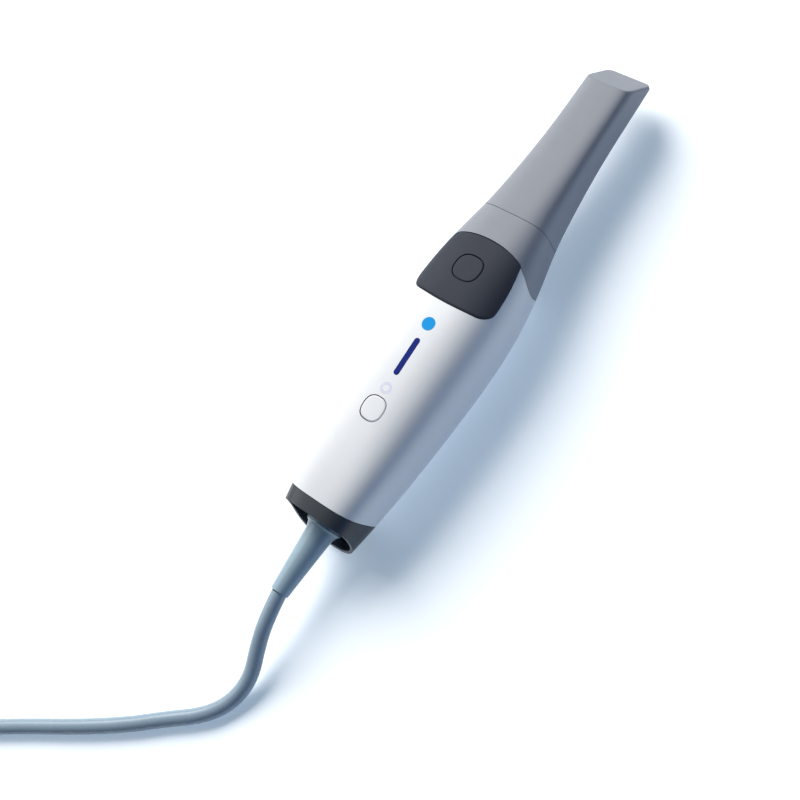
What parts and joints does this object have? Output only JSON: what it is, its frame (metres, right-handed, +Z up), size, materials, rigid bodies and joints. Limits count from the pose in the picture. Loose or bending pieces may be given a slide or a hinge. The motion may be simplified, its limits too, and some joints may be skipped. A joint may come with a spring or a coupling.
{
  "type": "intraoral scanner with cord",
  "caption": "Slim handheld intraoral scanner with a slip-off angled tip, two press buttons, an indicator ring and a coiled cord with a plug.",
  "frame": {"origin": "under the middle of the handpiece, on the surface that its belly lies on", "axes": "+X along the handpiece towards the scanning tip, +Z up, the side with the buttons; +Y to the left of a person who looks along the tip"},
  "size_m": [0.4465, 0.1546, 0.0365],
  "materials": {
    "tip_grey": "satin",
    "nose_grey": "satin",
    "panel_charcoal": "satin",
    "front_button_charcoal": "satin",
    "body_white": "satin gloss",
    "rear_button_white": "satin gloss",
    "ring_lavender": "frosted, translucent",
    "cap_charcoal": "satin",
    "recess_black": "matte",
    "relief_slate": "smooth, slightly glossy",
    "cord_slate": "smooth, slightly glossy",
    "plug_grip_slate": "satin",
    "plug_metal": "plated",
    "plug_insulator_white": "matte",
    "contact_gold": "plated",
    "mirror_silver": "front-surface mirror",
    "gasket_black": "matte",
    "barrel_black": "matte",
    "window_glass": "coated glass",
    "lens_glass": "coated glass",
    "lens_black": "matte",
    "switch_metal": "stamped",
    "plunger_black": "matte",
    "board_green": "solder mask",
    "lamp_yellow": "lamp module",
    "led_white": "clear",
    "chip_black": "matte",
    "sink_aluminium": "machined",
    "bench_aluminium": "machined",
    "housing_black": "black anodised",
    "screw_steel": "plated",
    "clamp_black": "matte",
    "connector_white": "matte",
    "wire_red": "matte"
  },
  "bodies": {
    "handpiece": {"nose_shell": "nose_grey", "button_panel": "panel_charcoal", "main_shell": "body_white", "bottom_cover": "body_white", "indicator_cap": "rear_button_white", "indicator_ring": "ring_lavender", "rear_cap": "cap_charcoal", "rear_plate": "recess_black", "strain_relief": "relief_slate", "cable_core": "cord_slate", "cable_lead": "cord_slate", "cable_coil": "cord_slate", "cable_tail": "cord_slate", "plug_grip": "plug_grip_slate", "plug_shell": "plug_metal", "plug_insulator": "plug_insulator_white", "plug_contacts": "contact_gold", "tip_gasket": "gasket_black", "optics_barrel": "barrel_black", "front_window": "window_glass", "projector_lens": "lens_glass", "left_camera_lens": "lens_black", "right_camera_lens": "lens_black", "front_switch": "switch_metal", "rear_switch": "switch_metal", "front_switch_board": "board_green", "rear_switch_board": "board_green", "mainboard": "board_green", "left_camera_board": "board_green", "right_camera_board": "board_green", "projector_lamp": "lamp_yellow", "indicator_led": "led_white", "board_chips": "chip_black", "heat_sink": "sink_aluminium", "optical_bench": "bench_aluminium", "projector_housing": "housing_black", "cover_screws": "screw_steel", "bench_screws": "screw_steel", "board_screws": "screw_steel", "cable_clamp": "clamp_black", "cable_connector": "connector_white", "cable_wires": "wire_red"},
    "tip": {"tip_shell": "tip_grey", "tip_mirror": "mirror_silver"},
    "front_button": {"front_button": "front_button_charcoal", "front_switch_plunger": "plunger_black"},
    "rear_button": {"rear_button": "rear_button_white", "rear_switch_plunger": "plunger_black"}
  },
  "joints": [
    {"name": "tip_pull", "type": "slide", "parent": "handpiece", "child": "tip", "axis": [1, 0, 0], "range_m": [0, 0.045]},
    {"name": "front_button_press", "type": "slide", "parent": "handpiece", "child": "front_button", "axis": [-0.1132, 0, -0.9936], "range_m": [0, 0.0005], "stiffness_N_per_m": 600, "springref_m": -0.0015},
    {"name": "rear_button_press", "type": "slide", "parent": "handpiece", "child": "rear_button", "axis": [0.0506, 0, -0.9987], "range_m": [0, 0.0005], "stiffness_N_per_m": 600, "springref_m": -0.0015}
  ]
}
